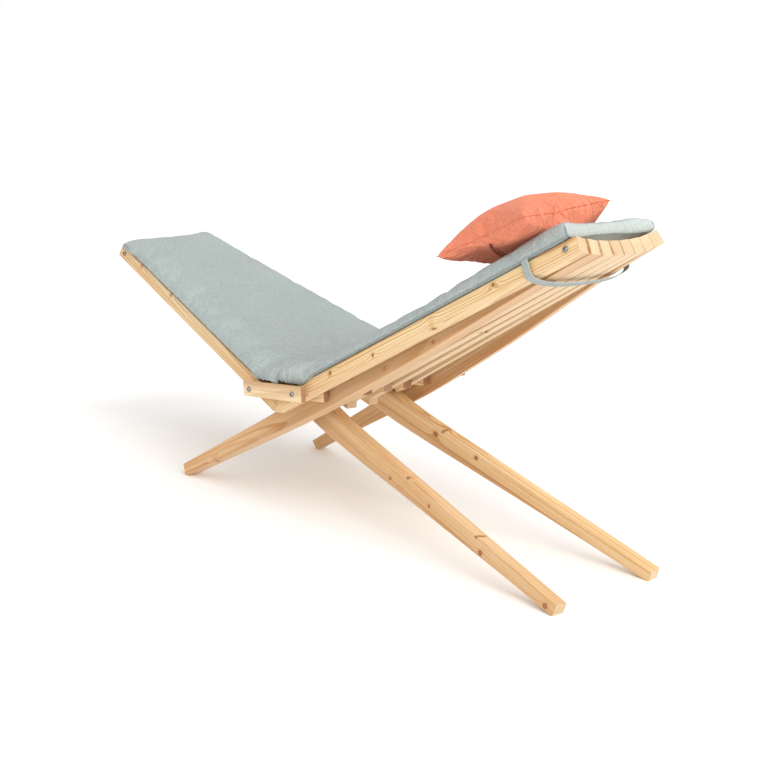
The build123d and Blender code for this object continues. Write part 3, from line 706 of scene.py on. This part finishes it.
# ------------------------------------------------------------------ mattress
KNOT_F = (0.0, 0.512, 0.740, 0.850, 0.976, 1.0)
END_F = (0.0, 0.4925, 0.7201, 0.8284, 0.9552, 1.0)
LOW = {"seat": ((11.4, 11.4, 12.6, 13.0, 19.6, 20.8), (1.4, 4.8, 9.7, 13.2, 17.6, 19.0)),
       "back": ((6.6, 6.6, 9.2, 12.4, 19.6, 20.8), (1.4, 4.8, 9.7, 13.2, 17.6, 19.0))}
THICK_V = {"seat": (48, 48, 48, 47, 43, 38), "back": (42, 42, 41, 37, 28, 25)}
MID_LOW_V = 19.6
LINK_L = (PD - PC).length * 1000


def pad_path(kind):
    """underside at x = 0 from the crease outwards, in mm: points and distances"""
    o, d0, n0, L = line_frame(kind)
    P = (PC if kind == "seat" else PD) * 1000
    away = LD * (-1 if kind == "seat" else 1)
    low = LOW[kind]
    pts = [P - away * (LINK_L / 2) + LU * MID_LOW_V, P - away * 18 + LU * MID_LOW_V]
    for u in np.arange(125.0, L - 23.0, 15.0):
        pts.append(o + d0 * u + n0 * (low[0][0] + (low[1][0] - low[0][0]) * u / L + 0.35))
    u = L - 24.0
    pts.append(o + d0 * u + n0 * (low[0][0] + (low[1][0] - low[0][0]) * u / L + 0.35))
    pts = np.array([[p.y, p.z] for p in pts])
    s = np.concatenate([[0], np.cumsum(np.linalg.norm(np.diff(pts, axis=0), axis=1))])
    fine = np.linspace(0, s[-1], 600)
    yz = np.stack([np.interp(fine, s, pts[:, 0]), np.interp(fine, s, pts[:, 1])], 1)
    step = fine[1]
    win = int(26 / step)
    ker = np.hanning(2 * win + 3)[1:-1]
    ker /= ker.sum()
    pre = 2 * yz[0] - yz[1:win + 1][::-1]
    post = 2 * yz[-1] - yz[-win - 1:-1][::-1]
    ext = np.concatenate([pre, yz, post])
    yz = np.stack([np.convolve(ext[:, i], ker, "valid") for i in (0, 1)], 1)
    return fine, yz


def pad(kind, name, mats):
    o, d0, n0, L = line_frame(kind)
    sg = -1.0 if kind == "seat" else 1.0
    s_fine, yz = pad_path(kind)
    total = s_fine[-1]
    tan = np.gradient(yz, s_fine, axis=0)
    tan /= np.linalg.norm(tan, axis=1)[:, None]
    nor = np.stack([-tan[:, 1] * sg, tan[:, 0] * sg], 1)
    nx, nz = 44, 4
    ny = int(total / 10.5)
    keys, index, faces = box_grid(nx, ny, nz)
    K = np.array(keys, float)
    a = K[:, 0] / nx * 2 - 1
    a = np.sign(a) * (1 - (1 - np.abs(a)) ** 1.22)
    b = K[:, 1] / ny          # 0 at the free end, 1 at the crease
    c = K[:, 2] / nz
    s = total * (1 - b)
    # distance along the plain line, for widths and heights
    yy = np.interp(s, s_fine, yz[:, 0])
    zz = np.interp(s, s_fine, yz[:, 1])
    u = np.clip((yy - Y0) * d0.y + (zz - o.z) * d0.z, 0, L)
    f = u / L
    half = np.minimum(250.5, 254 - 120 * f)
    absa = np.abs(a)
    fr0 = np.interp(absa, KNOT_F, np.array(LOW[kind][0]) - LOW[kind][0][0])
    fr1 = np.interp(absa, END_F, np.array(LOW[kind][1]) - LOW[kind][1][0])
    on = smooth01((s - LINK_L / 2 + 6) / 55.0)
    low = (fr0 + (fr1 - fr0) * f) * on + 0.25
    lean = smooth01((a + 0.1) / 0.5)      # 1 on the near side
    thick = np.interp(absa, KNOT_F, THICK_V[kind])
    if kind == "back":
        # towards the upper end the underside spans the hollow of the battens
        span = smooth01((u - 560) / 300.0)
        low = low + span * 7.0 * np.clip(1 - (absa / 0.9) ** 2, 0, 1)
        lip = 17.0 * (1 - absa ** 2) * smooth01(1 - (L - 24 - u) / 30.0)
        low = low + lip
        thick = thick + span * 8.5 * np.clip(1 - (absa / 0.9) ** 2, 0, 1) - lip
        thick = thick + span * (5.0 * absa ** 2 - 3.0 * (1 - absa ** 2))
        thick = thick - 6.0 * absa ** 3 * smooth01((u - 120) / 200.0) * smooth01((700 - u) / 200.0)
    thick = thick * on + (1 - on) * np.interp(absa, KNOT_F, (41, 41, 41, 40, 36, 32))
    # the side and end edges of the top are rounded
    d_side = (1 - absa) * half
    d_end = s.max() - s
    near_side = smooth01((a + 0.2) / 0.4)
    if kind == "seat":
        R, D = 24.0 + 44.0 * near_side, 9.0 + 19.0 * near_side
        Re, De, RC = 34.0, 12.0, 30.0 - 12.0 * lean
        reach = 8.0 - 5.0 * (1 - absa ** 2) + 9.0 * lean * absa ** 4
    else:
        tip = smooth01((u - 780) / 90.0)
        R, D = 13.0 - 5.0 * tip, 6.0 - 3.0 * tip
        Re, De, RC = 9.0, 3.5, 5.0
        reach = -5.0 + 21.0 * absa ** 3
    def drop(d, R, D):
        q = np.clip(1 - d / R, 0, 1)
        return D * (1 - np.sqrt(np.maximum(0, 1 - q * q)))
    fall = np.maximum(drop(d_side, R, D), drop(d_end, Re, De)) + 0.35 * np.minimum(drop(d_side, R, D), drop(d_end, Re, De))
    # the two halves of the cover dip where they meet in the crease
    fall = fall + drop(s, 24.0, 14.0)
    if kind == "seat":
        # the near corner of the foot end droops
        cr = np.hypot(d_end, (1 - a) * half)
        fall = fall + 13.0 * np.exp(-(cr / 80.0) ** 2)
    # the lower edges are rounded too, and the cover is gathered where it ends at the crease
    pinch = np.exp(-(s / 10.0) ** 2) * smooth01((absa - 0.86) / 0.14)
    lift = (6.0 if kind == "seat" else 1.5) * smooth01((absa - 0.90) / 0.10) + 5.0 * pinch
    low = low + lift
    hgt = low + c * (thick - lift - fall - 2.5)
    # walls bulge, corners are round in plan
    x = a * half - np.sign(a) * 8.0 * pinch
    ex, ey = np.clip(1 - d_side / RC, 0, 1), np.clip(1 - d_end / RC, 0, 1)
    x = x + np.sign(a) * (RC * (ex * np.sqrt(1 - ey ** 2 / 2) - ex))
    s = s + RC * (ey * np.sqrt(1 - ex ** 2 / 2) - ey)
    s = s + reach * smooth01(1 - d_end / 120.0)
    bul = 2.6 * np.sin(math.pi * c)
    x = x + np.sign(a) * bul * (absa > 0.999)
    s = s + bul * (K[:, 1] == 0)
    y = np.interp(s, s_fine, yz[:, 0]) + np.where(s > total, (s - total) * tan[-1, 0], 0)
    z = np.interp(s, s_fine, yz[:, 1]) + np.where(s > total, (s - total) * tan[-1, 1], 0)
    ny_ = np.interp(s, s_fine, nor[:, 0])
    nz_ = np.interp(s, s_fine, nor[:, 1])
    co = np.stack([x, y + ny_ * hgt, z + nz_ * hgt], 1) / 1000
    ob = mesh_object(name, co, faces, mats)
    hold = np.full(len(co), 0.10)
    hold[(K[:, 2] == nz) & ((absa > 0.93) | (d_end < 14))] = 0.22
    hold[K[:, 2] == 1] = 0.5
    hold[K[:, 2] == 0] = 1.0
    hold[K[:, 1] == ny] = 1.0
    hold[K[:, 1] == ny - 1] = 0.6
    puff(ob, hold, pressure=2.6, grow=0.014, cap=0.007)
    return ob, K, (nx, ny, nz), index, s, u


def ripple(ob, places):
    """small pulled folds that run out from a place: centre, direction of the folds,
    reach across and along, pitch, depth, all in metres"""
    co = read_co(ob)
    no = np.empty(len(ob.data.vertices) * 3)
    ob.data.vertices.foreach_get("normal", no)
    no = no.reshape(-1, 3)
    for c, along, across, r_al, r_ac, pitch, depth, fan in places:
        rel = co - np.array(c)
        al = rel @ np.array(along)
        ac = rel @ np.array(across)
        ph = ac / (pitch * (1 + fan * np.maximum(al, 0) / r_al))
        amp = depth * np.exp(-(al / r_al) ** 2 * 1.4 - (ac / r_ac) ** 2 * 1.4)
        wave = np.cos(2 * math.pi * ph + 1.3 * np.sin(al / r_al * 2.0))
        co = co + no * (amp * (np.abs(wave) ** 0.7 * np.sign(wave)))[:, None]
    write_co(ob, co)


def edge_line(ob, index, ks):
    co = read_co(ob)
    return np.array([co[index[k]] for k in ks])


def add_seams(ob, lines, radius):
    """welts sewn on the cover, joined into the piece"""
    parts = [tube(p, radius) for p in lines]
    base_co = read_co(ob)
    bm = bmesh.new()
    bm.from_mesh(ob.data)
    for co, faces in parts:
        vs = [bm.verts.new(tuple(c)) for c in co]
        for f in faces:
            fc = bm.faces.new([vs[i] for i in f])
            fc.smooth = True
            fc.material_index = min(1, len(ob.data.materials) - 1)
    bm.to_mesh(ob.data)
    bm.free()


def up_line(pts, n=3):
    """resampled, so that the welt is even"""
    pts = np.asarray(pts)
    s = np.concatenate([[0], np.cumsum(np.linalg.norm(np.diff(pts, axis=0), axis=1))])
    q = np.linspace(0, s[-1], max(4, int(s[-1] / 0.004)))
    return np.stack([np.interp(q, s, pts[:, i]) for i in range(3)], 1)


seam_grey = cloth_material("cloth_seam", oB / 1000, X, dB, nB, 0.0012, lin(166, 176, 172), lin(150, 160, 157), lin(112, 122, 119), 0.05)
seam_coral = cloth_material("cloth_seam_coral", oB / 1000, X, dB, nB, 0.0012, lin(226, 132, 104), lin(212, 112, 84), lin(170, 76, 54), 0.05)

pads = {}
for kind, name, mat in (("seat", "mattress_pad_seat", cloth_seat), ("back", "mattress_pad_back", cloth_back)):
    ob, K, (nx, ny, nz), index, s_, u_ = pad(kind, name, [mat, seam_grey])
    pads[kind] = ob
    lines = []
    # box corner seams at the free end, and the seam around the underside
    for i in (0, nx):
        lines.append(edge_line(ob, index, [(i, 0, k) for k in range(nz + 1)]))
    lines.append(edge_line(ob, index, [(0, j, 0) for j in range(ny - 3, -1, -1)] + [(i, 0, 0) for i in range(1, nx + 1)] + [(nx, j, 0) for j in range(1, ny - 2)]))
    subdivide(ob)
    pads[kind + "_lines"] = lines

crease = (PC + PD) / 2 + LU * 0.050
ripple(pads["seat"], [
    (crease + X * 0.236 - LD * 0.030 - LU * 0.010, (0.35, -0.55, 0.76), (-0.2, 0.9, 0.3), 0.035, 0.045, 0.015, 0.0016, 0.8),
    (crease - X * 0.236 - LD * 0.030 - LU * 0.010, (-0.35, -0.55, 0.76), (0.2, 0.9, 0.3), 0.035, 0.045, 0.015, 0.0016, 0.8),
    (crease + X * 0.10 - LD * 0.030, (1, 0, 0), (0, 1, 0), 0.16, 0.020, 0.022, 0.0011, 0.3),
    (crease - X * 0.12 - LD * 0.034, (-1, 0.1, 0), (0, 1, 0), 0.12, 0.018, 0.020, 0.0009, 0.3),
])
ripple(pads["back"], [
    (crease + X * 0.236 + LD * 0.028 - LU * 0.010, (0.35, 0.4, 0.76), (-0.1, 0.9, 0.3), 0.035, 0.040, 0.014, 0.0014, 0.6),
    (crease - X * 0.236 + LD * 0.028 - LU * 0.010, (-0.35, 0.4, 0.76), (0.1, 0.9, 0.3), 0.035, 0.040, 0.014, 0.0014, 0.6),
    (crease + X * 0.06 + LD * 0.026, (1, 0, 0), (0, 1, 0), 0.18, 0.018, 0.020, 0.0011, 0.3),
])
for kind in ("seat", "back"):
    add_seams(pads[kind], [up_line(l) for l in pads[kind + "_lines"]], 0.0011)

mid = (PC + PD) / 2
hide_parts("mattress_seat", "mattress_middle")
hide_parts("mattress_back")
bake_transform(pads["seat"])
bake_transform(pads["back"])

# ------------------------------------------------------------------ strap
STRAP_U, STRAP_W, STRAP_T = 793.0, 17.0, 2.0
hw = 254 - 120 * STRAP_U / 912.0
ctrl = [(hw + 0.4, 21.0), (hw + 2.9, 9.0), (hw + 4.6, -8.0), (hw + 2.6, -17.5), (hw - 7, -23.5), (hw - 36, -32.0), (hw - 68, -37.0), (0, -40.0)]
ctrl = ctrl + [(-p, q) for p, q in ctrl[-2::-1]]


def catmull(pts, per=10):
    pts = [np.array(p, float) for p in pts]
    pts = [2 * pts[0] - pts[1]] + pts + [2 * pts[-1] - pts[-2]]
    res = []
    for i in range(1, len(pts) - 2):
        p0, p1, p2, p3 = pts[i - 1:i + 3]
        t = [0.0]
        for a_, b_ in ((p0, p1), (p1, p2), (p2, p3)):
            t.append(t[-1] + np.linalg.norm(b_ - a_) ** 0.5)
        for k in range(per):
            q = t[1] + (t[2] - t[1]) * k / per
            A1 = (t[1] - q) / (t[1] - t[0]) * p0 + (q - t[0]) / (t[1] - t[0]) * p1
            A2 = (t[2] - q) / (t[2] - t[1]) * p1 + (q - t[1]) / (t[2] - t[1]) * p2
            A3 = (t[3] - q) / (t[3] - t[2]) * p2 + (q - t[2]) / (t[3] - t[2]) * p3
            B1 = (t[2] - q) / (t[2] - t[0]) * A1 + (q - t[0]) / (t[2] - t[0]) * A2
            B2 = (t[3] - q) / (t[3] - t[1]) * A2 + (q - t[1]) / (t[3] - t[1]) * A3
            res.append((t[2] - q) / (t[2] - t[1]) * B1 + (q - t[1]) / (t[2] - t[1]) * B2)
    res.append(pts[-2])
    return np.array(res)


line = catmull(ctrl, 12)
tg = np.gradient(line, axis=0)
tg /= np.linalg.norm(tg, axis=1)[:, None]
outw = np.stack([-tg[:, 1], tg[:, 0]], 1)
# half section of the band: across its width and out of it, with a rolled hem
sec = [(-8.5, 0.35), (-8.2, 0.05), (-6.4, 0.0), (-5.6, 0.25), (-4.8, 0.0), (0, 0.0), (4.8, 0.0), (5.6, 0.25), (6.4, 0.0), (8.2, 0.05), (8.5, 0.35),
       (8.5, 1.6), (8.2, 1.95), (6.4, 2.0), (5.6, 1.7), (4.8, 2.0), (0, 2.0), (-4.8, 2.0), (-5.6, 1.7), (-6.4, 2.0), (-8.2, 1.95), (-8.5, 1.6)]
co, faces = [], []
wave_rng = random.Random(3)
for i, (p, o2) in enumerate(zip(line, outw)):
    turn = 0.25 * math.sin(i * 0.21)
    for aw, th in sec:
        q = oB + dB * (STRAP_U + aw) + X * (p[0] + o2[0] * (th + 0.0)) + nB * (p[1] + o2[1] * (th + 0.0) + turn * 0.2)
        co.append(q / 1000)
ns = len(sec)
for i in range(len(line) - 1):
    for k in range(ns):
        r = (k + 1) % ns
        faces.append([i * ns + k, i * ns + r, (i + 1) * ns + r, (i + 1) * ns + k])
faces.append(list(range(ns)))
faces.append([(len(line) - 1) * ns + k for k in range(ns)][::-1])
strap = mesh_object("strap_band", co, faces, [cloth_back])
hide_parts("strap")
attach(strap, "back")

# ------------------------------------------------------------------ pillow
# corners as x, along the back, height over the back line
N = 60
FLAT = 0.195
keys, index, faces = [], {}, []
for side in (1, -1):
    for i in range(N + 1):
        for j in range(N + 1):
            rim_v = i in (0, N) or j in (0, N)
            key = (i, j, 0 if rim_v else side)
            if key not in index:
                index[key] = len(keys)
                keys.append(key)
for side in (1, -1):
    for i in range(N):
        for j in range(N):
            q = []
            for di, dj in ((0, 0), (1, 0), (1, 1), (0, 1)):
                a_, b_ = i + di, j + dj
                q.append(index[(a_, b_, 0 if (a_ in (0, N) or b_ in (0, N)) else side)])
            faces.append(q if side == 1 else q[::-1])
K = np.array(keys, float)
px, py = K[:, 0] / N * 2 - 1, K[:, 1] / N * 2 - 1
bulge = ((1 - np.abs(px) ** 2.6) * (1 - np.abs(py) ** 2.6)) ** 0.55
z0_ = bulge * K[:, 2] * 0.036
co = np.stack([px * FLAT * 1.0, py * FLAT * 1.0, z0_], 1)
pil = mesh_object("pillow_cushion", co, faces, [cloth_pillow, seam_coral])
puff(pil, np.zeros(len(co)), pressure=5.0, grow=0.0, cap=0.09, frames=24, stiff=22.0, bend=0.25, mass=0.25)
co = read_co(pil)
co[:, 2] -= (co[:, 2].max() + co[:, 2].min()) / 2
corner = [co[index[(i, j, 0)]] for i, j in ((0, 0), (N, 0), (N, N), (0, N))]
ext = np.mean([abs(c[0]) for c in corner] + [abs(c[1]) for c in corner])
print("pillow half size", round(ext * 1000), "thick", round((co[:, 2].max() - co[:, 2].min()) * 1000))
qx, qy = np.clip(co[:, 0] / ext, -1.05, 1.05), np.clip(co[:, 1] / ext, -1.05, 1.05)
w4 = {"P3": (1 - qx) * (1 - qy) / 4, "P1": (1 + qx) * (1 - qy) / 4, "Pn": (1 + qx) * (1 + qy) / 4, "P2": (1 - qx) * (1 + qy) / 4}
base_p = sum(w4[k][:, None] * np.array(PIL_C[k][:2], float) for k in w4)
zs = 126.0 / ((co[:, 2].max() - co[:, 2].min()) * 1000)
MIDH = 111.0
hh = MIDH + co[:, 2] * 1000 * zs
for k in w4:
    hh = hh + (PIL_C[k][2] - MIDH) * np.clip(w4[k], 0, 1) ** 1.7
# it rests on the mattress
halfw = 254 - 120 * base_p[:, 1] / 912.0
fx = np.abs(base_p[:, 0]) / halfw
top_h = 46.0 + 3.0 * np.clip(fx, 0, 1) ** 2
under = smooth01((1.06 - fx) / 0.10)
lim = top_h + 0.6
soft = 15.0
dlt = hh - lim
pressed = np.where(dlt < soft, lim + soft * np.exp(np.minimum(0, (dlt - soft)) / soft), hh)
hh = hh * (1 - under) + np.maximum(pressed, lim) * under


upper = K[:, 2] > 0
lower = K[:, 2] < 0
fill_up = 9.0 * np.exp(-((qx - 0.15) ** 2 / 0.4 + (qy + 0.35) ** 2 / 0.4))
edge_in = (1 - np.clip(np.abs(qx), 0, 1) ** 6) * (1 - np.clip(np.abs(qy), 0, 1) ** 6)
hh = hh + np.where(upper, fill_up * edge_in, 0)
flat = 0.55 * np.exp(-((qx - 0.8) ** 2 / 0.5 + (qy + 0.5) ** 2 / 0.6)) * edge_in
rim_h = MIDH + 14.0
hh = np.where(lower & (hh < rim_h), hh + (rim_h - hh) * flat, hh)
world_co = np.array(oB)[None, :] + np.outer(base_p[:, 1], np.array(dB)) + np.outer(hh, np.array(nB)) + np.outer(base_p[:, 0], [1, 0, 0])
write_co(pil, world_co / 1000)
rim_keys = [(i, 0, 0) for i in range(N)] + [(N, j, 0) for j in range(N)] + [(i, N, 0) for i in range(N, 0, -1)] + [(0, j, 0) for j in range(N, 0, -1)] + [(0, 0, 0), (1, 0, 0)]
rim_line = edge_line(pil, index, rim_keys)
subdivide(pil)
# the cloth is gathered along three of the seams, and pinched once in the lower side
co = read_co(pil)
no = np.empty(len(pil.data.vertices) * 3)
pil.data.vertices.foreach_get("normal", no)
no = no.reshape(-1, 3)
move = np.zeros(len(co))
for q, (pa, pb) in enumerate((("Pn", "P2"), ("P2", "P3"), ("P3", "P1"))):
    pa, pb = np.array(PIL_P[pa]), np.array(PIL_P[pb])
    full = np.linalg.norm(pb - pa)
    run_ = (co - pa) @ ((pb - pa) / full)
    away = np.linalg.norm(co - pa - np.outer(run_, (pb - pa) / full), axis=1)
    wave = 0.5 * np.sin(2 * math.pi * run_ / 0.0190 + 2.1 * q) + 0.32 * np.sin(2 * math.pi * run_ / 0.0117 + 0.7 + q) + 0.3 * np.sin(2 * math.pi * run_ / 0.043 + 1.9 * q)
    gate = np.exp(-(away / 0.045) ** 2) * (1 - np.exp(-(away / 0.008) ** 2))
    move += 0.0022 * wave * gate * smooth01((run_ - 0.02) / 0.05) * smooth01((full - run_ - 0.02) / 0.05)
best = np.full(len(co), 1e9)
track = [np.array(on_line(oB, dB, nB, *v)) for v in PLEAT]
for pa, pb in zip(track[:-1], track[1:]):
    ab = pb - pa
    part = np.clip(((co - pa) @ ab) / (ab @ ab), 0, 1)
    best = np.minimum(best, np.linalg.norm(co - (pa + part[:, None] * ab), axis=1))
move += -0.0024 * np.exp(-(best / 0.0036) ** 2) + 0.0012 * np.exp(-((best - 0.0085) / 0.0036) ** 2)
write_co(pil, co + no * move[:, None])
add_seams(pil, [up_line(rim_line[N + 0:2 * N + 1])], 0.0004)
add_seams(pil, [up_line(rim_line[2 * N:]), up_line(rim_line[:N + 1])], 0.0009)
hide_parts("pillow")
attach(pil, "back")
